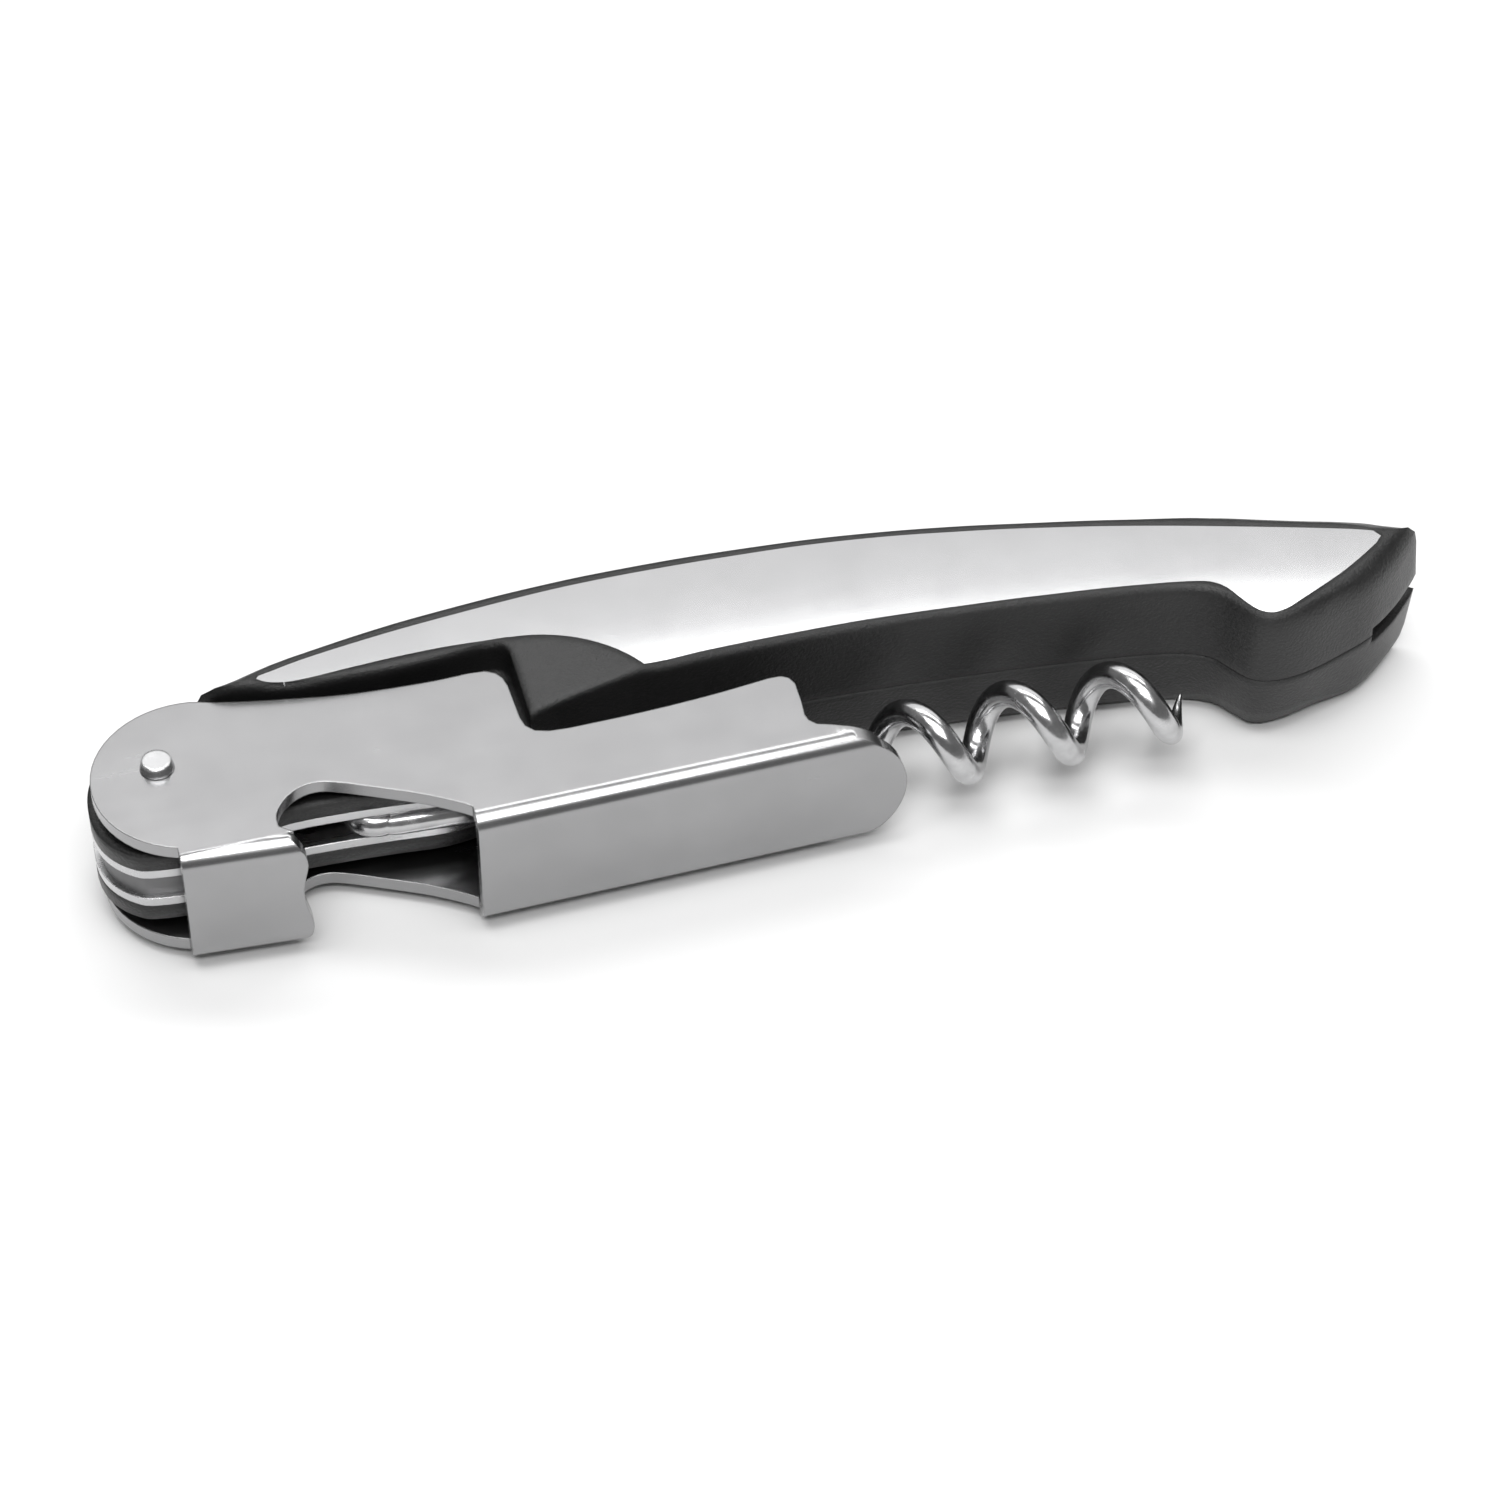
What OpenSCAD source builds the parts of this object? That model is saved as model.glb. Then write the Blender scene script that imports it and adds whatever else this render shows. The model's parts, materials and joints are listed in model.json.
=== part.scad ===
// Two-step waiter's corkscrew, folded, lying on its lower shell.
// Lengths in mm. The drawing is made round the lever rivet and then moved by frame_x and frame_y.

/* [Handle] */
// Thickness over both shells
handle_t = 14.6; // [13.6:0.1:16]
// Height of the ear face above the parting plane
ear_top = 3.65; // [3.4:0.05:4]
// Thickness of each steel liner
liner_t = 0.85; // [0.6:0.05:1]
// Space between the two liners
liner_gap = 2.4; // [2.3:0.05:2.8]
// Width of the knife slot through the shells' edge
slot_w = 1.7; // [1.5:0.05:2.2]
// Thickness of the metal inlay in each shell
inlay_t = 0.5; // [0.3:0.1:1]
// Inset of the steel liner inside the closed edge of the handle
liner_inset = 1.6; // [1.3:0.1:2.2]

/* [Lever] */
// Width over the two flanges
lever_w = 12.1; // [11.6:0.1:12.6]
// Sheet thickness of the lever
sheet_t = 1.2; // [1:0.1:1.4]
// Outer bend radius of the folded sheet
bend_r = 1.6; // [1.3:0.1:2]
// Distance from the rivet to the outside of the tube's web
web_y = 13.8; // [13.2:0.1:14.4]
// Distance from the rivet to the first bottle-lip step
step_one_x = 30; // [28:0.5:31]
// Distance from the rivet to the second bottle-lip step
step_two_x = 53.1; // [50:0.1:54]
// Centre of the rounded end of the web
web_end_x = 54.4; // [52:0.1:56]

/* [Rivets and pins] */
// Radius of the lever rivet's shank
rivet_r = 1.2; // [1:0.05:1.5]
// Radius of the rivet's head where it meets the flange
rivet_head_r = 1.45; // [1.4:0.05:2]
// Height of the rivet's head
rivet_head_h = 0.85; // [0.5:0.05:0.9]
// Radius of the worm's pin
worm_pin_r = 1.1; // [0.9:0.05:1.2]
// Radius of the knife's pin
knife_pin_r = 1.25; // [1:0.05:1.5]
// Radius of the pins that hold the shells and the spring
small_pin_r = 0.9; // [0.7:0.05:1.1]
// Radial clearance of a turning fit
run_gap = 0.05; // [0.02:0.01:0.1]

/* [Worm] */
// Wire diameter
wire_d = 2.35; // [2:0.05:2.5]
// Outside diameter of the coils
worm_od = 8.25; // [7.5:0.05:9]
// Advance of the coils for each turn
worm_pitch = 9.05; // [8:0.05:11]
// Distance from the rivet to the top of the first full coil
coil_top_x = 62; // [60:0.1:66]
// Distance from the rivet to the point
worm_tip_x = 87; // [80:0.1:90]

/* [Knife] */
// Thickness of the foil cutter's blade
blade_t = 1.2; // [0.8:0.1:1.4]
// Length of the blade from its pin
blade_l = 43; // [38:1:46]
// Number of teeth on the cutting edge
blade_teeth = 16; // [8:1:24]

/* [Hidden] */
$fn = 48;
frame_x = 52.3361;
frame_y = -1.5605;
mid = handle_t / 2;
liner_in = liner_gap / 2;
liner_out = liner_in + liner_t;
flange_in = lever_w / 2 - sheet_t;
flange_out = lever_w / 2;
fit = 0.02;
side_gap = 0.05;
worm_pin_at = [17.2, -3.6];
knife_at = [102.5, -3.2];
knife_dir = 165.3;
washer_r = 2.4;
lever_washer_r = 3.2;
spring_t = 2.1;
pin_reach = 4.9;
worm_pin_reach = 3.2;
shell_pin_reach = 4.3;
eye_r = 3.2;
spring_pins_at = [[49, 1.2], [68, 0]];
shell_pins_at = [[36, 6.6], [52, 7], [95.6, -9.4]];

// Handle outline at the parting plane, as pairs of points: belly side, then spine side.
handle_pairs = [
  [[-6.15, -2.6], [-6.2, -1.5]], [[-5.85, -4], [-6.05, 0.1]], [[-5.1, -5.5], [-5.6, 1.8]],
  [[-3.9, -6.8], [-4.7, 3.5]], [[-2.6, -7.5], [-3.2, 5.1]], [[0.5, -7.9], [-0.6, 6.5]],
  [[3.5, -7.7], [3.2, 7.1]], [[6.5, -6.4], [7, 7.85]], [[9.5, -5.6], [9.8, 8.6]],
  [[14.5, -5.75], [14.3, 9.45]], [[18.7, -6.1], [18.6, 10.2]], [[22.4, -6.45], [22.5, 10.75]],
  [[25.8, -6.1], [26, 11.1]], [[28.6, -4.7], [29, 11.35]], [[31, -3.1], [31.7, 11.55]],
  [[34, -2.4], [35, 11.7]], [[39, -2.05], [39.5, 11.8]], [[46, -2], [46, 11.65]],
  [[50.5, -2.05], [50.5, 11.4]], [[55.6, -2.2], [55.5, 11]], [[59.5, -2.4], [59.5, 10.6]],
  [[63.5, -2.7], [63.5, 10.05]], [[68, -3.1], [68, 9.3]], [[73, -3.6], [73, 8.3]],
  [[77.5, -4.15], [77.5, 7.25]], [[83.5, -5], [83.2, 5.9]], [[87.8, -5.9], [87.2, 4.85]],
  [[90.2, -7.2], [89.8, 4.2]], [[91.3, -8.9], [91.8, 3.7]], [[92.4, -10.6], [93.5, 3.2]],
  [[93.8, -11.35], [95, 2.8]], [[95.6, -11.5], [97, 2.2]], [[97.9, -11.15], [99, 1.6]],
  [[101, -10.15], [101.8, 0.75]], [[104.3, -8.85], [104.5, 0]], [[107.2, -6.9], [107.2, -0.8]],
  [[109.3, -5], [108.9, -1.75]], [[110.35, -3.95], [110.1, -2.55]]];
handle_tip = [110.95, -3.25];

// Lower and upper edges of the inlay, left to right.
inlay_low = [[9.85, 6.65], [10.6, 6.05], [12, 5.6], [14, 5.5], [17.6, 5.7], [21.3, 5.85],
  [25.5, 5.85], [29, 5.6], [32, 5.2], [33.5, 3], [36.5, 0], [41.7, -1.05], [46.2, -0.95],
  [50.6, -0.95], [55, -1.05], [59.4, -1.2], [63.7, -1.5], [69, -2], [73.2, -2.42],
  [76.7, -2.85], [81, -3.4], [85.3, -4.1], [88.4, -4.7], [90.3, -5.3], [91.4, -6.4],
  [92.2, -8.3], [93, -9.8], [94.1, -10.45], [95.5, -10.25], [97, -9.6], [101.2, -7.65],
  [103.9, -6.1], [105.8, -4.85]];
inlay_high = [[10.1, 6.95], [11.3, 7.2], [13.9, 7.8], [18.4, 8.5], [22.9, 9.05],
  [27.3, 9.45], [31.8, 9.8], [36.2, 10.05], [40.7, 10.1], [45, 10], [49.5, 9.8],
  [54.8, 9.45], [58.3, 9.15], [62.7, 8.6], [67, 7.9], [71.2, 7.05], [75.5, 6.13],
  [79.7, 5.08], [83.9, 3.98], [88.7, 2.58], [92.2, 1.48], [99, -0.75], [104.2, -2.55],
  [106.1, -3.35]];

// Scoop for the thumb beside the first step: a shallow cone sunk into each face.
scoop_at = [30.5, -6.9];
scoop_r = 12.3;
scoop_slope = 0.2;

// Smooth interpolation through control points.
function clamp(v) = min(1, max(0, v));
function ramp(x, a, b) = let (t = clamp((x - a) / (b - a))) t * t * (3 - 2 * t);
function knot(p, i) = p[min(len(p) - 1, max(0, i))];
function blend(a, b, c, d, t) = 0.5 * (2 * b + (c - a) * t
  + (2 * a - 5 * b + 4 * c - d) * t * t + (3 * b - a - 3 * c + d) * t * t * t);
function smooth(p, n) = [for (i = [0:len(p) - 2], j = [0:n - 1])
  blend(knot(p, i - 1), p[i], p[i + 1], knot(p, i + 2), j / n), p[len(p) - 1]];
function reversed(p) = [for (i = [len(p) - 1:-1:0]) p[i]];
function arc(c, r, a, b, n) = [for (i = [0:n])
  let (t = a + (b - a) * i / n) c + r * [cos(t), sin(t)]];
function unit(v) = v / norm(v);
function out_normal(a, b) = let (d = unit(b - a)) [d[1], -d[0]];
// Moves each point of a counter-clockwise loop inwards by its own distance.
function inset(p, d) = [for (i = [0:len(p) - 1])
  let (k = len(p), a = out_normal(p[(i + k - 1) % k], p[i]), b = out_normal(p[i], p[(i + 1) % k]))
  p[i] - d[i] * (a + b) / (1 + a * b)];

cuts = 3;
belly = smooth([for (q = handle_pairs) q[0]], cuts);
spine = smooth([for (q = handle_pairs) q[1]], cuts);
loop = concat(belly, [handle_tip], reversed(spine));
rows = len(belly);
last = len(loop) - 1;
// On the loop, points up to the tip are the belly side and the rest are the spine side.
function is_belly(i) = i <= rows;
// How far the wall leans in, then how far its rounded rim reaches in and down from the face.
function lean(x, low) = low
  ? 0.5 * ramp(x, 22, 30) - 0.3 * ramp(x, 86, 92) + 0.15 * ramp(x, 98, 104)
  : 0.65 * ramp(x, 2, 10) - 0.3 * ramp(x, 96, 108);
function rim_in(x, low) = -ramp(x, 107.5, 110.7) + (low
  ? 0.45 + 0.25 * ramp(x, 86, 92) + 0.8 * ramp(x, 96, 104)
  : 1.2 - 0.9 * ramp(x, 4, 13) + 1.2 * ramp(x, 88, 110));
function rim_down(x, low) = low
  ? 1 + 2 * ramp(x, 86, 92) - 0.6 * ramp(x, 98, 104)
  : 2.05 - 1.3 * ramp(x, 4, 13) + 3.4 * ramp(x, 92, 109);
// The shell that the tool lies on has a fuller rounding under its belly edge and its tail's corner.
function under_in(x) = 1.5 * ramp(x, 33, 42) * (1 - ramp(x, 99, 105));
function under_down(x) = 1.9 * ramp(x, 33, 42) * (1 - ramp(x, 99, 105))
  + 0.8 * ramp(x, 88, 93) * (1 - ramp(x, 97, 103));
function under_back(x) = 0.8 * ramp(x, 87, 93) * (1 - ramp(x, 96, 103));
// The nose at the tip also slopes back towards each face.
nose_back = [1.5, 0.4];
function nose(x) = ramp(x, 102.5, 111);
rim_steps = [0, 30, 60, 90];
seam_in = 0.1;
// The liners reach the edge where the ears are and stay inside it elsewhere.
function liner_in_by(x, low) = liner_inset * (low ? ramp(x, 27, 36) : ramp(x, -3, 9))
  - 0.9 * ramp(x, 108.5, 110.8);
// The pocket for a liner is open at the ears.
function pocket_in_by(x, low) = liner_in_by(x, low) - 1.2 * (low ? 1 - ramp(x, 27, 36)
  : 1 - ramp(x, -3, 9)) - 0.04;
liner_loop = inset(loop, [for (i = [0:last]) liner_in_by(loop[i][0], is_belly(i))]);
pocket_loop = inset(loop, [for (i = [0:last]) pocket_in_by(loop[i][0], is_belly(i))]);

// Recess that lets the lever's flange lie below the handle's face.
recess = concat([[-14, -22], [31, -22], [31, 2.6]],
  arc([29.6, 3.9], 1.4, 0, 90, 6),
  smooth([[28.6, 5.3], [25.5, 4.95], [21.7, 4.8], [17.4, 4.95], [13, 5.4], [9, 6.2], [4.7, 7.2]],
    cuts),
  [[3, 9.5], [-14, 16]]);

// Lever outline seen from above, starting at the foot of the rounded end.
flange_arc = arc([2.7, -1.5], 8.45, 249.5, 80, 26);
flange_edge = smooth([[6.6, 6.1], [8.8, 5.55], [13.5, 4.55], [17, 3.95], [20.7, 3.6], [24.5, 3.4],
  [27.2, 3.45]], cuts);
step_one = [[28.6, 3.3], [29.4, 2.8], [29.85, 2], [30, 1], [30, -3], [30.2, -4], [30.8, -4.75],
  [31.9, -5.15], [33.6, -5.3]];
step_two = smooth([[38, -5.3], [42, -5.2], [46.3, -4.95], [49.3, -4.65]], 2);
step_foot = [[51.2, -4.45], [52.2, -4.5], [52.8, -4.9], [53.1, -5.7], [52.95, -8], [52.75, -9.5],
  [52.9, -10.2], [53.4, -10.8], [55.3, -11.5], [58, -12]];
mouth = concat([[23.6, -16], [23.7, -11.8]],
  smooth([[23, -11.2], [20.3, -9.35], [16.6, -7.35], [13.4, -5.75], [11.9, -5.4], [10.5, -5.7],
  [9.1, -6.7], [8.2, -8.1], [8.1, -9.4]], cuts),
  [[10.4, -11.4], [10.4, -16], [-0.3, -16]]);
lever_plan = concat(flange_arc, flange_edge, [for (q = step_one) q + [step_one_x - 30, 0]],
  step_two, [for (q = step_foot) q + [step_two_x - 53.1, 0]], [[62, -12.2], [62, -16]], mouth);
// Bottle-opener beak on the hook's web, seen from the front.
beak = concat([[-0.45, -8], [8, -8], [8.3, -6.1]],
  smooth([[8.9, -5.75], [9.6, -4.8], [9.85, -3.4], [9.45, -1.5], [9.3, 0], [9.45, 1.5],
  [9.85, 3.4], [9.6, 4.8], [8.9, 5.75]], cuts),
  [[8.3, 6.1], [8, 8], [-0.45, 8]]);
hook_turn = -4.9;
hook_y = -11.1;

// Worm centre line: a straight shank, then coils that grow to full size past the lever's end.
wire_r = wire_d / 2;
coil_r = worm_od / 2 - wire_r;
shank_x = 18.5;
coil_start_x = 48;
tight_r = 2.3;
taper_l = 3.4;
// The coils' axis drops a little where they grow to full size, just past the lever's web.
function grown(x) = ramp(x, 57, 63);
function axis_y(x) = (1 - grown(x)) * (-5.65 - 0.0785 * (x - 16)) + grown(x) * (-10.03 - 0.04 * (x - 64));
function coil_at(x) = tight_r * ramp(x, coil_start_x, 56) + (coil_r - tight_r) * grown(x);
function coil_turn(x) = 360 * (x - coil_top_x) / worm_pitch;
// The top of a coil, as seen from above the belly, lies up and back from the axis.
function wire_at(x) = [x, axis_y(x) + coil_at(x) * cos(45 + coil_turn(x)),
  coil_at(x) * sin(45 + coil_turn(x))];
function wire_size(x) = wire_r * (0.06 + 0.94 * pow(clamp((worm_tip_x - x) / taper_l), 0.7));
wire_x = concat([for (x = [shank_x:4:46]) x],
  [for (x = [coil_start_x:worm_pitch / 22:worm_tip_x - 4.2]) x],
  [for (x = [worm_tip_x - 4:0.4:worm_tip_x]) x]);
sides = 16;
// Direction away from the coil's axis; it stands still along the straight shank.
function outward(x) = let (a = 45 + coil_turn(max(x, coil_start_x))) [0, cos(a), sin(a)];
function ring(x, d) = let (v = unit(cross(d, outward(x))), u = cross(v, d))
  [for (k = [0:sides - 1]) let (a = 360 * k / sides)
    wire_at(x) + wire_size(x) * (u * cos(a) + v * sin(a))];

module place() {
  translate([-frame_x, -frame_y, 0]) children();
}

module hole(at, r, z0, z1) {
  translate([at[0], at[1], z0]) cylinder(r=r, h=z1 - z0);
}

module scoop() {
  depth = scoop_r * scoop_slope;
  translate([scoop_at[0], scoop_at[1], handle_t - depth]) cylinder(r1=0, r2=scoop_r, h=depth + 0.001);
}

// One level of the shell's wall: every point of the outline moved in and back, at its own height.
function level(in_by, back, z, under) = let (p = inset(loop, in_by)) [for (i = [0:last])
  let (x = loop[i][0], b = back * (nose_back * nose(x) - [0, is_belly(i) ? under * under_back(x) : 0]))
    [p[i][0] - b[0], p[i][1] - b[1], z[i]]];

// The solid between the parting plane and the face, with its leaning edge and rounded rim.
module shell_block(under) {
  n = last + 1;
  flat = [for (q = loop) 0];
  seam = [level([for (q = flat) seam_in], 0, [for (q = flat) mid], under),
    level(flat, 0, [for (q = flat) mid + seam_in], under)];
  rim = [for (t = rim_steps)
    level([for (i = [0:last]) let (x = loop[i][0], low = is_belly(i))
        lean(x, low) + (rim_in(x, low) + (low ? under * under_in(x) : 0)) * (1 - cos(t))],
      1 - cos(t),
      [for (i = [0:last]) let (x = loop[i][0], low = is_belly(i))
        handle_t - (rim_down(x, low) + (low ? under * under_down(x) : 0)) * (1 - sin(t))], under)];
  levels = concat(seam, rim);
  top = (len(levels) - 1) * n;
  walls = [for (k = [0:len(levels) - 2], i = [0:last]) let (j = (i + 1) % n)
    each [[k * n + i, (k + 1) * n + j, k * n + j], [k * n + i, (k + 1) * n + i, (k + 1) * n + j]]];
  // The caps are strips from the belly side to the spine side, closed by a triangle at the tip.
  strip = [for (i = [0:rows - 2]) each [[i, i + 1, last - i], [i + 1, last - i - 1, last - i]]];
  cap = concat(strip, [[rows - 1, rows, rows + 1]]);
  polyhedron(points=[for (p = levels) each p],
    faces=concat(walls, cap, [for (t = cap) [t[0] + top, t[2] + top, t[1] + top]]));
}

module inlay_shape(grow, under) {
  low = [for (q = inlay_low) let (x = q[0])
    q + under * [0.8 * under_back(x), 1.2 * under_in(x) + 1.3 * under_back(x)]];
  edge = concat(smooth(low, cuts), [[106.5, -4.15]], reversed(smooth(inlay_high, cuts)));
  d = [for (q = edge) -grow];
  polygon(inset(edge, d));
}

module shell(under) {
  difference() {
    shell_block(under);
    translate([0, 0, mid + ear_top]) linear_extrude(handle_t) polygon(recess);
    translate([0, 0, mid - 1]) linear_extrude(1 + liner_out) polygon(pocket_loop);
    // Slot that the knife swings through, along the spine and round the tail.
    translate([0, 0, mid - 1]) linear_extrude(1 + slot_w / 2)
      polygon([[57, 4], [57, 16], [118, 16], [118, -12.5], [106.7, -12.5], [102.7, -5.2]]);
    scoop();
    translate([0, 0, handle_t - inlay_t]) linear_extrude(2) difference() {
      inlay_shape(0.03, under);
      translate(scoop_at) circle(r=scoop_r - 0.02);
    }
    hole([0, 0], rivet_r + fit, 0, handle_t);
    hole(worm_pin_at, worm_pin_r + fit, mid - 1, mid + worm_pin_reach + 0.1);
    hole(knife_at, knife_pin_r + fit, mid - 1, mid + pin_reach + 0.1);
    hole(knife_at, washer_r + 0.3, mid - 1, mid + liner_in);
    for (q = spring_pins_at) hole(q, small_pin_r + fit, mid - 1, mid + pin_reach + 0.1);
    for (q = shell_pins_at) hole(q, small_pin_r + fit, mid - 1, mid + shell_pin_reach + 0.1);
  }
}

module flip() {
  translate([0, 0, handle_t]) mirror([0, 0, 1]) children();
}

module upper_shell() {
  color([0.06, 0.06, 0.065]) place() shell(0);
}

module lower_shell() {
  color([0.06, 0.06, 0.065]) place() flip() shell(1);
}

module inlay(under) {
  translate([0, 0, handle_t - inlay_t + 0.02]) linear_extrude(inlay_t - 0.02) difference() {
    inlay_shape(0, under);
    translate(scoop_at) circle(r=scoop_r + 0.03);
  }
}

module upper_inlay() {
  color([0.85, 0.86, 0.87]) place() inlay(0);
}

module lower_inlay() {
  color([0.85, 0.86, 0.87]) place() flip() inlay(1);
}

module liner() {
  difference() {
    translate([0, 0, mid + liner_in]) linear_extrude(liner_t) polygon(liner_loop);
    hole([0, 0], rivet_r + fit, 0, handle_t);
    hole(worm_pin_at, worm_pin_r + fit, 0, handle_t);
    hole(knife_at, knife_pin_r + fit, 0, handle_t);
    for (q = concat(spring_pins_at, shell_pins_at)) hole(q, small_pin_r + fit, 0, handle_t);
  }
}

module upper_liner() {
  color([0.7, 0.71, 0.72]) place() liner();
}

module lower_liner() {
  color([0.7, 0.71, 0.72]) place() flip() liner();
}

// Metal filler between the liners round the lever's rivet, set a little in from their edge.
module hinge_spacer() {
  color([0.55, 0.56, 0.58]) place() difference() {
    translate([0, 0, mid - liner_in]) linear_extrude(liner_gap) intersection() {
      polygon(inset(loop, [for (i = [0:last]) liner_in_by(loop[i][0], is_belly(i)) + 0.45]));
      polygon([[-9, -9], [1.5, -9], [5.4, -5.4], [7.4, 0], [6.6, 5], [4, 12], [-9, 12]]);
    }
    hole([0, 0], rivet_r + fit, 0, handle_t);
  }
}

// Cross-section of the folded sheet, from the outside of its web to where the flanges run flat.
module fold_section(depth) {
  difference() {
    union() {
      translate([bend_r, -flange_out]) square([depth - bend_r, lever_w]);
      translate([0, -flange_out + bend_r]) square([depth, lever_w - 2 * bend_r]);
      for (s = [-1, 1]) translate([bend_r, s * (flange_out - bend_r)]) circle(r=bend_r);
    }
    translate([bend_r, -flange_in]) square([depth, 2 * flange_in]);
    translate([sheet_t, -flange_out + bend_r]) square([depth, lever_w - 2 * bend_r]);
    for (s = [-1, 1]) translate([bend_r, s * (flange_out - bend_r)]) circle(r=bend_r - sheet_t);
  }
}

module fold(length) {
  rotate([90, 0, 90]) linear_extrude(length) fold_section(3.4);
}

module lever() {
  color([0.74, 0.75, 0.76]) place() translate([0, 0, mid]) difference() {
    intersection() {
      union() {
        for (z = [-flange_out, flange_in])
          translate([0, 0, z]) linear_extrude(sheet_t)
            intersection() {
              polygon(lever_plan);
              polygon([[-8, -10], [3, -10.3], [12, -10.3], [20, -12], [62, -12], [62, 12], [-8, 12]]);
            }
        translate([20, -web_y, 0]) fold(42);
        translate([0, hook_y, 0]) rotate([0, 0, hook_turn]) intersection() {
          translate([-4, 0, 0]) fold(16);
          translate([0, 4, 0]) rotate([90, 0, 0]) linear_extrude(5) polygon(beak);
        }
      }
      translate([0, 0, -8]) linear_extrude(16) polygon(lever_plan);
      translate([0, 20, 0]) rotate([90, 0, 0]) linear_extrude(40) {
        translate([-10, -8]) square([web_end_x + 10, 16]);
        translate([web_end_x, 0]) circle(r=flange_out);
      }
    }
    translate([0, 0, -8]) cylinder(r=rivet_r + run_gap, h=16);
  }
}

// Shank with a low truncated head on each end, clear of the flanges by the side gap.
module lever_rivet() {
  head = mid + flange_out + side_gap;
  color([0.8, 0.81, 0.82]) place() {
    hole([0, 0], rivet_r, handle_t - head - 0.1, head + 0.1);
    translate([0, 0, head]) cylinder(r1=rivet_head_r, r2=rivet_head_r - 0.22, h=rivet_head_h);
    flip() translate([0, 0, head]) cylinder(r1=rivet_head_r, r2=rivet_head_r - 0.22, h=rivet_head_h);
  }
}

module lever_washer() {
  translate([0, 0, mid + ear_top + side_gap]) difference() {
    cylinder(r=lever_washer_r, h=flange_in - ear_top - 2 * side_gap);
    translate([0, 0, -1]) cylinder(r=rivet_r + run_gap, h=4);
  }
}

module upper_lever_washer() {
  color([0.5, 0.51, 0.52]) place() lever_washer();
}

module lower_lever_washer() {
  color([0.5, 0.51, 0.52]) place() flip() lever_washer();
}

module wire() {
  count = len(wire_x);
  rings = [for (i = [0:count - 1])
    let (a = wire_at(wire_x[max(0, i - 1)]), b = wire_at(wire_x[min(count - 1, i + 1)]))
    each ring(wire_x[i], unit(b - a))];
  walls = [for (i = [0:count - 2], k = [0:sides - 1])
    let (a = i * sides + k, b = i * sides + (k + 1) % sides)
    each [[a, a + sides, b + sides], [a, b + sides, b]]];
  ends = [[for (k = [0:sides - 1]) k], [for (k = [sides - 1:-1:0]) (count - 1) * sides + k]];
  polyhedron(points=rings, faces=concat(walls, ends));
}

// The wire's eye is a flattened ring with a true bore for its pin.
module worm() {
  color([0.86, 0.87, 0.88]) place() translate([0, 0, mid]) {
    difference() {
      union() {
        translate(worm_pin_at) rotate_extrude() {
          translate([0, -wire_r]) square([eye_r - wire_r, wire_d]);
          translate([eye_r - wire_r, 0]) circle(r=wire_r);
        }
        wire();
      }
      translate([worm_pin_at[0], worm_pin_at[1], -3]) cylinder(r=worm_pin_r + run_gap, h=6);
    }
  }
}

module worm_pin() {
  color([0.6, 0.61, 0.62]) place() hole(worm_pin_at, worm_pin_r, mid - worm_pin_reach, mid + worm_pin_reach);
}

// Blade drawn along +X from its pin with the back on the +Y side, then turned to lie along the spine.
module knife_blade() {
  half = 2.95;
  tooth = (blade_l - 14) / blade_teeth;
  back = [[0, 3.3], [6, half], [blade_l - 9, half], [blade_l - 3.2, half - 1.3], [blade_l, -0.4]];
  teeth = [for (i = [blade_teeth - 1:-1:0])
    let (x = 9 + i * tooth) each [[x + tooth, -half + 0.75 * clamp((x - 24) / 14)],
      [x + tooth / 2, -half + 0.55 + 0.75 * clamp((x - 24) / 14)]]];
  root = concat([[9, -half], [7.6, -half], [7, -half + 0.5], [6, -half + 0.4], [4, -3.1]],
    arc([0, 0], 3.3, 260, 90, 14));
  color([0.78, 0.79, 0.8]) place() translate([knife_at[0], knife_at[1], mid - blade_t / 2])
    rotate([0, 0, knife_dir]) mirror([0, 1, 0]) difference() {
      linear_extrude(blade_t) polygon(concat(reversed(teeth), reversed(back), reversed(root)));
      translate([0, 0, -1]) cylinder(r=knife_pin_r + run_gap, h=4);
    }
}

module knife_pin() {
  color([0.6, 0.61, 0.62]) place() hole(knife_at, knife_pin_r, mid - pin_reach, mid + pin_reach);
}

module knife_washers() {
  t = (liner_gap - blade_t) / 2 - 0.08;
  color([0.5, 0.51, 0.52]) place() for (s = [-1, 1])
    translate([knife_at[0], knife_at[1], mid + s * (liner_in - 0.03 - t / 2) - t / 2]) difference() {
      cylinder(r=washer_r, h=t);
      translate([0, 0, -1]) cylinder(r=knife_pin_r + fit, h=3);
    }
}

// Flat backspring between the liners: held by two pins, its free end bears near the knife's tang.
module knife_spring() {
  high = smooth([[45.5, 3.2], [52, 3.1], [59, 2.6], [66, 2], [74, 0.4], [82, -1.7], [90, -3.7],
    [95, -5.2], [98.2, -6.3]], cuts);
  low = smooth([[98.4, -8.4], [96, -8.2], [93.6, -7.2], [91.6, -5.6], [88, -4.2], [82, -2.9],
    [74, -1.3], [66, -0.9], [59, -0.5], [52, -0.3], [45.5, -0.2]], cuts);
  color([0.6, 0.61, 0.63]) place() translate([0, 0, mid - spring_t / 2]) difference() {
    linear_extrude(spring_t) polygon(concat(reversed(high), reversed(low)));
    for (q = spring_pins_at) hole(q, small_pin_r + fit, -1, 4);
  }
}

module spring_pins() {
  color([0.6, 0.61, 0.62]) place() for (q = spring_pins_at)
    hole(q, small_pin_r, mid - pin_reach, mid + pin_reach);
}

module shell_pins() {
  color([0.6, 0.61, 0.62]) place() for (q = shell_pins_at)
    hole(q, small_pin_r, mid - shell_pin_reach, mid + shell_pin_reach);
}

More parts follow.
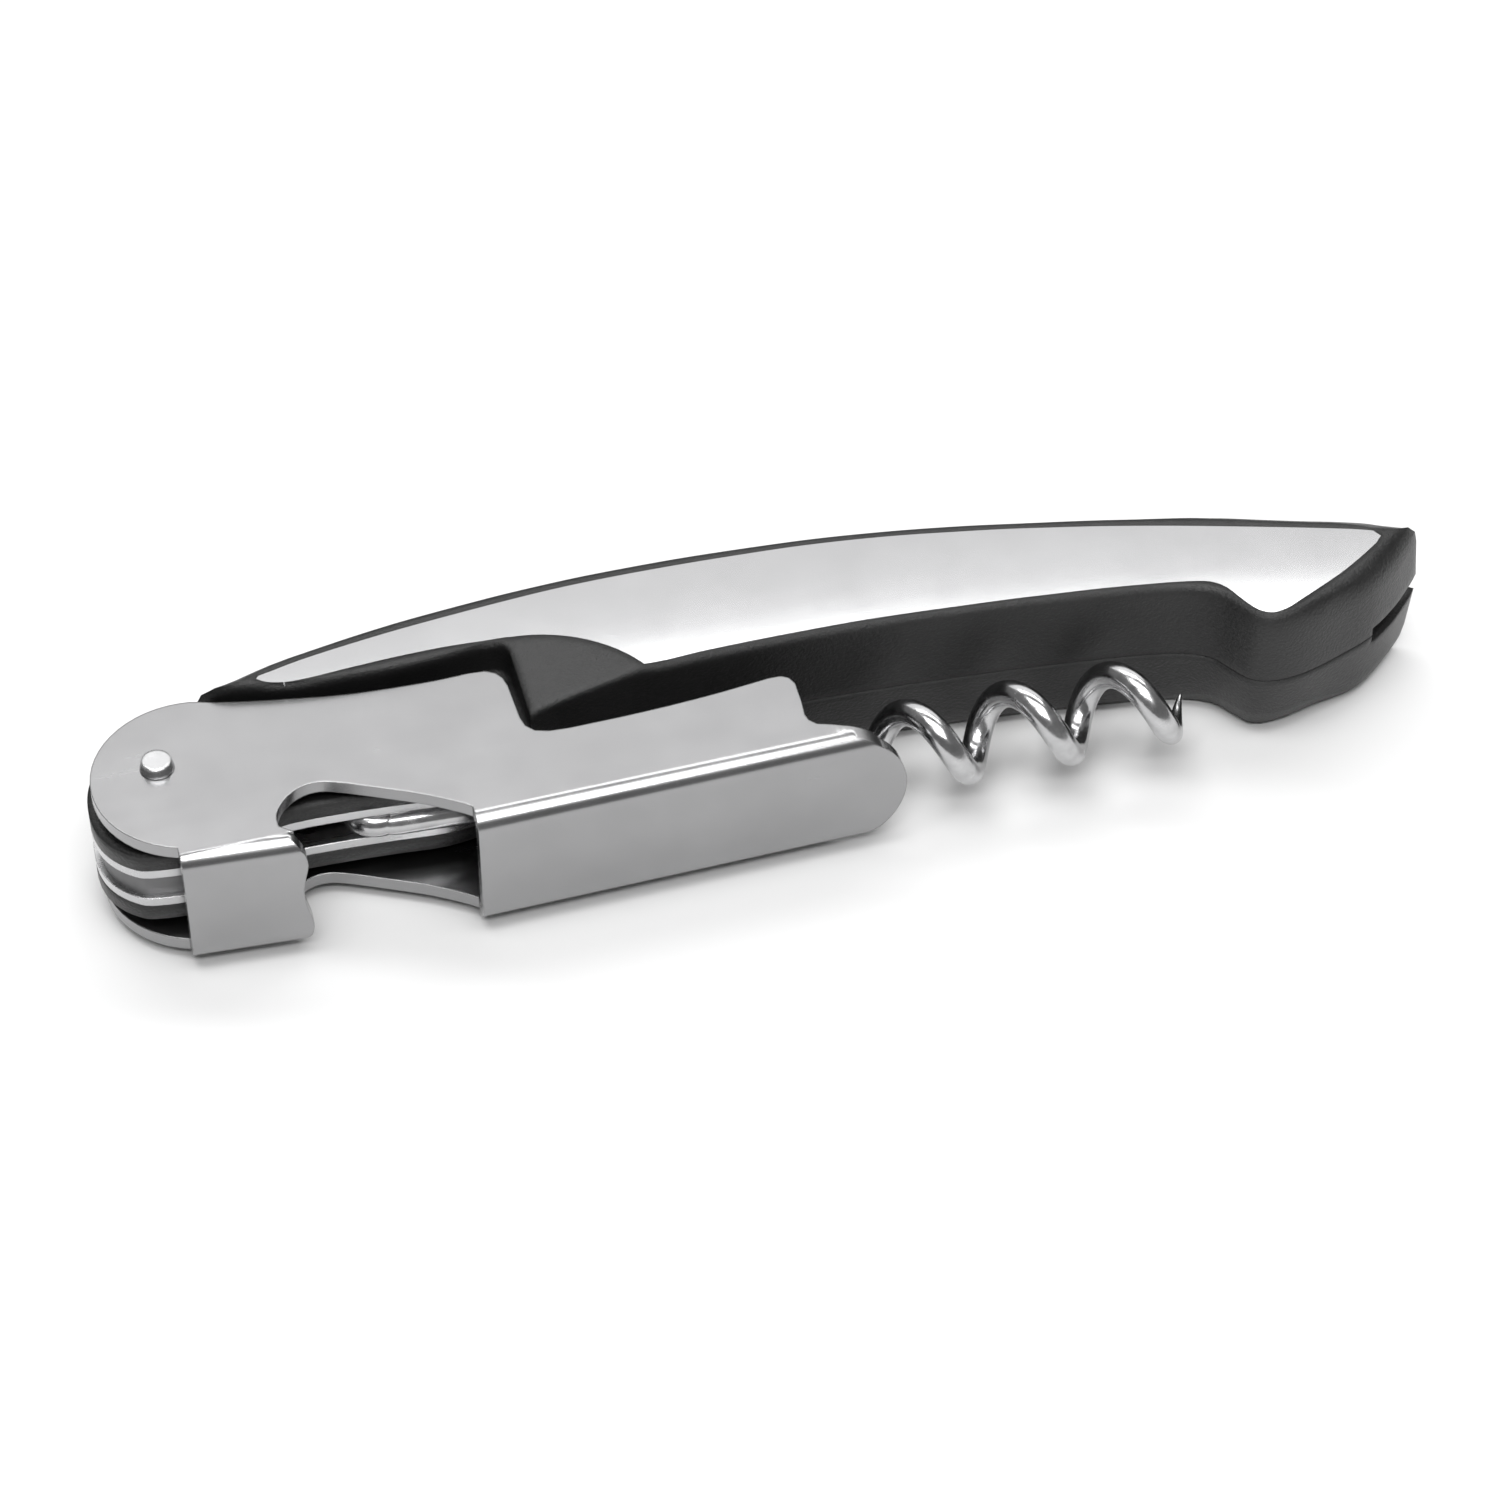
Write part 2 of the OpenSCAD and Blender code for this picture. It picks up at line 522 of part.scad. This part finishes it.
upper_shell();
lower_shell();
upper_inlay();
lower_inlay();
upper_liner();
lower_liner();
hinge_spacer();
lever();
lever_rivet();
upper_lever_washer();
lower_lever_washer();
worm();
worm_pin();
knife_blade();
knife_pin();
knife_washers();
knife_spring();
spring_pins();
shell_pins();
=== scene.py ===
"""Looks for the folding waiter's corkscrew: soft edges, a smooth worm, materials, light and camera."""

import json
import math

import bmesh
import bpy
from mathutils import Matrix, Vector


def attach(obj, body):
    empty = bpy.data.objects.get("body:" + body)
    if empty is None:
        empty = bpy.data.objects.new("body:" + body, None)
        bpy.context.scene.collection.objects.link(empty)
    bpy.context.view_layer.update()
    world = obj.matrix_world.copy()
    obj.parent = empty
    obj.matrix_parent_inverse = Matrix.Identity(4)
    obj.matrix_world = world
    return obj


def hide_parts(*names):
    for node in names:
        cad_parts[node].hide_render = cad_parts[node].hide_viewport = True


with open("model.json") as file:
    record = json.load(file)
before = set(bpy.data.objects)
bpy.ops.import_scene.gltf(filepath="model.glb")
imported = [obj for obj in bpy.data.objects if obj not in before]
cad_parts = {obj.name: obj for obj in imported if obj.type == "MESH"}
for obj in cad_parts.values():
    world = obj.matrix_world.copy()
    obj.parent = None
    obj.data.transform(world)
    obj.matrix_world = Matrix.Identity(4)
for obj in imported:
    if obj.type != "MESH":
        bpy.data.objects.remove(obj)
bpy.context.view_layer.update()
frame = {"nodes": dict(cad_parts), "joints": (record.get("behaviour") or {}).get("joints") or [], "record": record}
nodes = frame["nodes"]
joints = {j["name"]: Vector(j["pos_m"]) for j in frame["joints"]}
hinge = joints["lever_hinge"]
MM = 0.001


def place(x, y, z):
    """A point in millimetres from the lever's rivet, with z from the table, in the frame's metres."""
    return Vector((hinge.x + x * MM, hinge.y + y * MM, z * MM))


# ---------------------------------------------------------------- materials

# The inlay's middle line: y = RIDGE_Y + RIDGE_SLOPE * x + RIDGE_BEND * x * x, in the frame's metres.
RIDGE_Y = 0.0105
RIDGE_SLOPE = -0.075
RIDGE_BEND = -1.9


class Graph:
    """Short calls for building one material's nodes."""

    def __init__(self, name):
        self.material = bpy.data.materials.new(name)
        self.material.use_nodes = True
        self.nodes = self.material.node_tree.nodes
        self.links = self.material.node_tree.links
        self.shader = self.nodes["Principled BSDF"]
        self.coords = self.nodes.new("ShaderNodeTexCoord").outputs["Object"]

    def link(self, source, node, socket):
        self.links.new(source, node.inputs[socket])

    def stretched(self, scale):
        node = self.nodes.new("ShaderNodeMapping")
        node.inputs["Scale"].default_value = scale
        self.link(self.coords, node, "Vector")
        return node.outputs["Vector"]

    def noise(self, scale, detail=3.0, rough=0.5, where=None):
        node = self.nodes.new("ShaderNodeTexNoise")
        node.inputs["Scale"].default_value = scale
        node.inputs["Detail"].default_value = detail
        node.inputs["Roughness"].default_value = rough
        self.link(where or self.coords, node, "Vector")
        return node.outputs["Fac"]

    def remap(self, source, low, high, out_low, out_high):
        node = self.nodes.new("ShaderNodeMapRange")
        sockets = ("From Min", "From Max", "To Min", "To Max")
        for socket, value in zip(sockets, (low, high, out_low, out_high)):
            node.inputs[socket].default_value = value
        self.link(source, node, "Value")
        return node.outputs["Result"]

    def maths(self, operation, a, b):
        node = self.nodes.new("ShaderNodeMath")
        node.operation = operation
        for i, value in enumerate((a, b)):
            if isinstance(value, (int, float)):
                node.inputs[i].default_value = value
            else:
                self.links.new(value, node.inputs[i])
        return node.outputs["Value"]

    def tint(self, factor, dark, light):
        node = self.nodes.new("ShaderNodeMix")
        node.data_type = "RGBA"
        node.inputs["A"].default_value = (*dark, 1)
        node.inputs["B"].default_value = (*light, 1)
        self.link(factor, node, "Factor")
        self.link(node.outputs["Result"], self.shader, "Base Color")

    def bump(self, height, strength, distance, edge=0.0):
        """A fine relief, over edges that look rounded by the given radius."""
        node = self.nodes.new("ShaderNodeBump")
        if edge:
            rounded = self.nodes.new("ShaderNodeBevel")
            rounded.samples = 6
            rounded.inputs["Radius"].default_value = edge
            self.link(rounded.outputs["Normal"], node, "Normal")
        node.inputs["Strength"].default_value = strength
        node.inputs["Distance"].default_value = distance
        self.link(height, node, "Height")
        self.link(node.outputs["Normal"], self.shader, "Normal")
        return node

    def crown(self, before, rise):
        """A shallow bulge across the handle, along its curved middle line, shaded under a finer bump."""
        split = self.nodes.new("ShaderNodeSeparateXYZ")
        self.link(self.coords, split, "Vector")
        x, y = split.outputs["X"], split.outputs["Y"]
        bend = self.maths("MULTIPLY", self.maths("MULTIPLY", x, x), RIDGE_BEND)
        ridge = self.maths("ADD", bend, RIDGE_Y)
        ridge = self.maths("ADD", ridge, self.maths("MULTIPLY", x, RIDGE_SLOPE))
        off = self.maths("SUBTRACT", y, ridge)
        node = self.nodes.new("ShaderNodeBump")
        node.inputs["Strength"].default_value = 1.0
        node.inputs["Distance"].default_value = 1.0
        self.link(self.maths("MULTIPLY", self.maths("MULTIPLY", off, off), -rise), node, "Height")
        self.links.new(node.outputs["Normal"], before.inputs["Normal"])

    def rough(self, source):
        self.link(source, self.shader, "Roughness")


def metal(name, dark, light, roughness, along=(40, 1400, 1400), brush=0.12, edge=0.00015, rise=0.0):
    """Ground metal: fine lines along one axis, a cloudy sheen and rounded, rubbed edges."""
    g = Graph(name)
    g.shader.inputs["Metallic"].default_value = 1.0
    lines = g.noise(1.0, 4.0, 0.6, g.stretched(along))
    cloud = g.noise(160.0, 4.0, 0.55)
    speck = g.noise(2600.0, 2.0, 0.5)
    g.tint(g.remap(cloud, 0.3, 0.7, 0.0, 1.0), dark, light)
    sheen = g.maths("ADD", g.maths("MULTIPLY", lines, 0.5), g.maths("MULTIPLY", cloud, 0.5))
    g.rough(g.remap(sheen, 0.3, 0.7, *roughness))
    fine = g.bump(g.maths("ADD", lines, g.maths("MULTIPLY", speck, 0.35)), brush, 0.00001, edge)
    if rise:
        g.crown(fine, rise)
    return g.material


def grained_plastic(name, dark, light, roughness):
    """Moulded plastic: a fine even grain, a little smoother in random cloudy patches."""
    g = Graph(name)
    grain = g.noise(3600.0, 3.0, 0.6)
    cloud = g.noise(120.0, 3.0, 0.5)
    g.tint(g.remap(cloud, 0.3, 0.7, 0.0, 1.0), dark, light)
    g.rough(g.remap(g.maths("ADD", grain, cloud), 0.7, 1.3, *roughness))
    g.bump(grain, 1.0, 0.00009, 0.0012)
    return g.material


def chrome(name):
    """Polished wire with faint drawing marks and pits."""
    g = Graph(name)
    g.shader.inputs["Metallic"].default_value = 1.0
    marks = g.noise(900.0, 3.0, 0.6)
    pits = g.noise(3800.0, 2.0, 0.5)
    g.tint(g.remap(marks, 0.3, 0.7, 0.0, 1.0), (0.44, 0.44, 0.445), (0.56, 0.56, 0.565))
    g.rough(g.remap(marks, 0.3, 0.75, 0.14, 0.30))
    g.bump(g.maths("ADD", marks, pits), 0.16, 0.00003)
    return g.material


def grey(value):
    return (value, value, value * 1.01)


# How finely the brushed lines repeat along x, y and z. An even pattern suits small turned pieces.
ALONG_INLAY = (30, 900, 900)
ALONG_BLADE = (900, 30, 900)
ROUND = (900, 900, 900)
looks = {
    "black_plastic": grained_plastic("black_plastic", grey(0.006), grey(0.010), (0.34, 0.44)),
    "inlay_metal": metal(
        "inlay_metal", grey(0.42), grey(0.44), (0.22, 0.26), ALONG_INLAY, brush=0.008, edge=0.0, rise=5.9),
    "liner_steel": metal("liner_steel", grey(0.5), grey(0.62), (0.22, 0.34)),
    "spacer_metal": metal("spacer_metal", grey(0.16), grey(0.22), (0.45, 0.6)),
    "lever_steel": metal("lever_steel", grey(0.325), grey(0.35), (0.22, 0.28), brush=0.07, edge=0.0002),
    "rivet_steel": metal("rivet_steel", grey(0.5), grey(0.56), (0.2, 0.3), ROUND, edge=0.0004),
    "washer_steel": metal("washer_steel", grey(0.4), grey(0.5), (0.35, 0.5), ROUND),
    "worm_chrome": chrome("worm_chrome"),
    "pin_steel": metal("pin_steel", grey(0.5), grey(0.6), (0.3, 0.45), ROUND),
    "blade_steel": metal("blade_steel", grey(0.5), grey(0.6), (0.2, 0.32), ALONG_BLADE),
    "spring_steel": metal("spring_steel", grey(0.42), grey(0.52), (0.32, 0.48)),
}


def wear(obj, slot):
    obj.data.materials.clear()
    obj.data.materials.append(looks[slot])


for part in frame["record"]["subparts"]:
    wear(nodes[part["node"]], part["material_slot"])


# ---------------------------------------------------------------- smooth shading on the CAD nodes

def smooth_by_angle(limit):
    """A node group that drops stored normals and keeps only edges past the limit sharp."""
    group = bpy.data.node_groups.new("smooth_by_angle", "GeometryNodeTree")
    group.interface.new_socket("Geometry", in_out="INPUT", socket_type="NodeSocketGeometry")
    group.interface.new_socket("Geometry", in_out="OUTPUT", socket_type="NodeSocketGeometry")
    start = group.nodes.new("NodeGroupInput")
    end = group.nodes.new("NodeGroupOutput")
    normal = group.nodes.new("GeometryNodeSetMeshNormal")
    normal.mode = "SHARPNESS"
    angle = group.nodes.new("GeometryNodeInputMeshEdgeAngle")
    past = group.nodes.new("FunctionNodeCompare")
    past.operation = "GREATER_THAN"
    past.inputs["B"].default_value = math.radians(limit)
    link = group.links.new
    link(start.outputs[0], normal.inputs["Mesh"])
    link(angle.outputs["Unsigned Angle"], past.inputs["A"])
    link(past.outputs["Result"], normal.inputs["Edge Sharpness"])
    normal.inputs["Remove Custom"].default_value = True
    normal.inputs["Face Sharpness"].default_value = False
    link(normal.outputs["Mesh"], end.inputs[0])
    return group


SMOOTH = smooth_by_angle(36.0)
WELD_GAP = 2e-6


def soften(obj):
    weld = obj.modifiers.new("weld", "WELD")
    weld.merge_threshold = WELD_GAP
    shade = obj.modifiers.new("shade", "NODES")
    shade.node_group = SMOOTH
    normals = obj.modifiers.new("normals", "WEIGHTED_NORMAL")
    normals.keep_sharp = True
    normals.weight = 70


for part in nodes.values():
    soften(part)


# ---------------------------------------------------------------- the worm

# Millimetres from the lever's rivet. The radii of the coils are to the wire's centre.
WIRE_R = 1.175
COIL_R = 2.95
TIGHT_R = 2.3
PITCH = 9.05
SHANK_X = 16.9
START_L = 1.8
COIL_START_X = 48.0
TIGHT_X = 56.0
GROW_X = (57.0, 63.0)
COIL_TOP_X = 62.0
TIP_X = 87.0
TAPER_L = 3.4
AXIS_Z = 7.3
EYE = (17.2, -3.6)
BORE_R = 1.15
RING_R = 2.025
CHAMFER = 0.2

# The line each stretch runs along: the x where it is measured, y there and the slope.
SHANK_LINE = (16.0, -5.65, -0.0785)
COIL_LINE = (64.0, -10.03, -0.04)

# Shares of the wire's radius: left at the point, left at the start, and straight in the eye's bore.
POINT_SHARE = 0.05
START_SHARE = 0.78
BORE_SHARE = 0.8
POINT_CURVE = 0.7
TOP_TURN = math.radians(45.0)

# How finely the wire and its eye are divided.
SIDES = 24
EYE_SIDES = 64
EYE_STEPS = 12
SHANK_STEP = 0.6
TURN_STEPS = 72.0
POINT_STEPS = 160.0


def ramp(x, low, high):
    t = min(1.0, max(0.0, (x - low) / (high - low)))
    return t * t * (3.0 - 2.0 * t)


def on_line(line, x):
    start, y, slope = line
    return y + slope * (x - start)


def coil_point(x):
    """The wire's centre: a straight shank, then coils whose axis drops a little as they grow."""
    grown = ramp(x, *GROW_X)
    axis_y = (1.0 - grown) * on_line(SHANK_LINE, x) + grown * on_line(COIL_LINE, x)
    radius = TIGHT_R * ramp(x, COIL_START_X, TIGHT_X) + (COIL_R - TIGHT_R) * grown
    turn = TOP_TURN + math.tau * (x - COIL_TOP_X) / PITCH
    return Vector((x, axis_y + radius * math.cos(turn), AXIS_Z + radius * math.sin(turn)))


def wire_radius(x):
    """Full size but for the point and the start, which hides inside the eye."""
    from_tip = min(1.0, max(0.0, (TIP_X - x) / TAPER_L))
    point = POINT_SHARE + (1.0 - POINT_SHARE) * from_tip ** POINT_CURVE
    start = START_SHARE + (1.0 - START_SHARE) * ramp(x, SHANK_X, SHANK_X + START_L)
    return WIRE_R * point * start


def lofted(form, rings, closed):
    """Joins rings of points into a tube, with a cap on each end or closed into a ring."""
    verts = [[form.verts.new(place(*p)) for p in ring] for ring in rings]
    pairs = list(zip(verts, verts[1:])) + ([(verts[-1], verts[0])] if closed else [])
    for a, b in pairs:
        for i in range(len(a)):
            j = (i + 1) % len(a)
            form.faces.new((a[i], a[j], b[j], b[i]))
    if not closed:
        form.faces.new(verts[0][::-1])
        form.faces.new(verts[-1])


def step_at(x):
    """Spacing of the rings along x: wide on the shank, close on the coils and closest at the point."""
    if x < COIL_START_X:
        return SHANK_STEP
    return PITCH / (TURN_STEPS if x < TIP_X - 1.0 else POINT_STEPS)


def wire_rings():
    xs = []
    x = SHANK_X
    while x < TIP_X:
        xs.append(x)
        x += step_at(x)
    xs.append(TIP_X)
    rings = []
    side = Vector((0.0, 0.0, 1.0))
    for x in xs:
        centre = coil_point(x)
        ahead = (coil_point(x + 0.02) - coil_point(x - 0.02)).normalized()
        side = (side - ahead * side.dot(ahead)).normalized()
        other = ahead.cross(side)
        size = wire_radius(x)
        rings.append([centre + (side * math.cos(t) + other * math.sin(t)) * size
                      for t in (math.tau * k / SIDES for k in range(SIDES))])
    return rings


def eye_rings():
    """Half a wire's round outside, closed by a straight bore with small chamfers."""
    outside = [(RING_R + WIRE_R * math.sin(t), -WIRE_R * math.cos(t))
               for t in (math.pi * k / EYE_STEPS for k in range(EYE_STEPS + 1))]
    low = [(BORE_R, -WIRE_R * BORE_SHARE), (BORE_R + CHAMFER, -WIRE_R)]
    high = [(BORE_R + CHAMFER, WIRE_R), (BORE_R, WIRE_R * BORE_SHARE)]
    profile = low + outside + high
    return [[(EYE[0] + r * math.cos(t), EYE[1] + r * math.sin(t), AXIS_Z + z) for r, z in profile]
            for t in (math.tau * k / EYE_SIDES for k in range(EYE_SIDES))]


def worm_mesh():
    form = bmesh.new()
    lofted(form, wire_rings(), False)
    lofted(form, eye_rings(), True)
    bmesh.ops.recalc_face_normals(form, faces=form.faces)
    mesh = bpy.data.meshes.new("worm_wire")
    form.to_mesh(mesh)
    form.free()
    mesh.polygons.foreach_set("use_smooth", [True] * len(mesh.polygons))
    return mesh


worm_wire = bpy.data.objects.new("worm_wire", worm_mesh())
bpy.context.scene.collection.objects.link(worm_wire)
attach(worm_wire, "worm")
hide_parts("worm")
wear(worm_wire, "worm_chrome")


# ---------------------------------------------------------------- camera, light and floor

CAMERA_AT = (-26.96, -256.2, 268.4)
VIEW_TURN = math.radians(-16.9)
VIEW_RISE = math.radians(45.0)
towards_camera = Vector((
    math.sin(VIEW_TURN) * math.cos(VIEW_RISE),
    -math.cos(VIEW_TURN) * math.cos(VIEW_RISE),
    math.sin(VIEW_RISE),
))
camera_data = bpy.data.cameras.new("camera")
camera_data.lens = 105.0
camera_data.sensor_width = 36.0
camera_data.clip_start = 0.01
camera = bpy.data.objects.new("camera", camera_data)
camera.location = place(*CAMERA_AT)
camera.rotation_euler = towards_camera.to_track_quat("Z", "Y").to_euler()
bpy.context.scene.collection.objects.link(camera)
bpy.context.scene.camera = camera


def softbox(name, where, aim, size, watts):
    """A rectangular area light that faces a point."""
    data = bpy.data.lights.new(name, "AREA")
    data.shape = "RECTANGLE"
    data.size, data.size_y = size
    data.energy = watts
    lamp = bpy.data.objects.new(name, data)
    lamp.location = where
    lamp.rotation_euler = (Vector(where) - Vector(aim)).to_track_quat("Z", "Y").to_euler()
    bpy.context.scene.collection.objects.link(lamp)


middle = Vector((0, 0, 0.007))
softbox("overhead", (-0.05, -0.12, 0.7), middle, (0.7, 0.3), 3.6)
softbox("strip", (-0.1, -0.42, 0.62), middle, (0.5, 0.08), 2.4)
softbox("back_low", (0.2, 0.8, 0.62), middle, (1.5, 0.62), 3.45)
softbox("back_high", (0.15, 0.45, 0.92), middle, (1.2, 0.2), 4.2)

world = bpy.data.worlds.new("studio")
world.use_nodes = True
world.node_tree.nodes["Background"].inputs["Color"].default_value = (1, 1, 1, 1)
world.node_tree.nodes["Background"].inputs["Strength"].default_value = 0.22
bpy.context.scene.world = world

FLOOR_HALF = 3.0
floor_mesh = bpy.data.meshes.new("floor")
form = bmesh.new()
bmesh.ops.create_grid(form, x_segments=1, y_segments=1, size=FLOOR_HALF)
form.to_mesh(floor_mesh)
form.free()
floor = bpy.data.objects.new("floor", floor_mesh)
bpy.context.scene.collection.objects.link(floor)
paper = Graph("paper")
paper.shader.inputs["Base Color"].default_value = (0.73, 0.73, 0.73, 1)
paper.shader.inputs["Roughness"].default_value = 0.9
floor.data.materials.append(paper.material)
bpy.context.scene.view_settings.view_transform = "Standard"
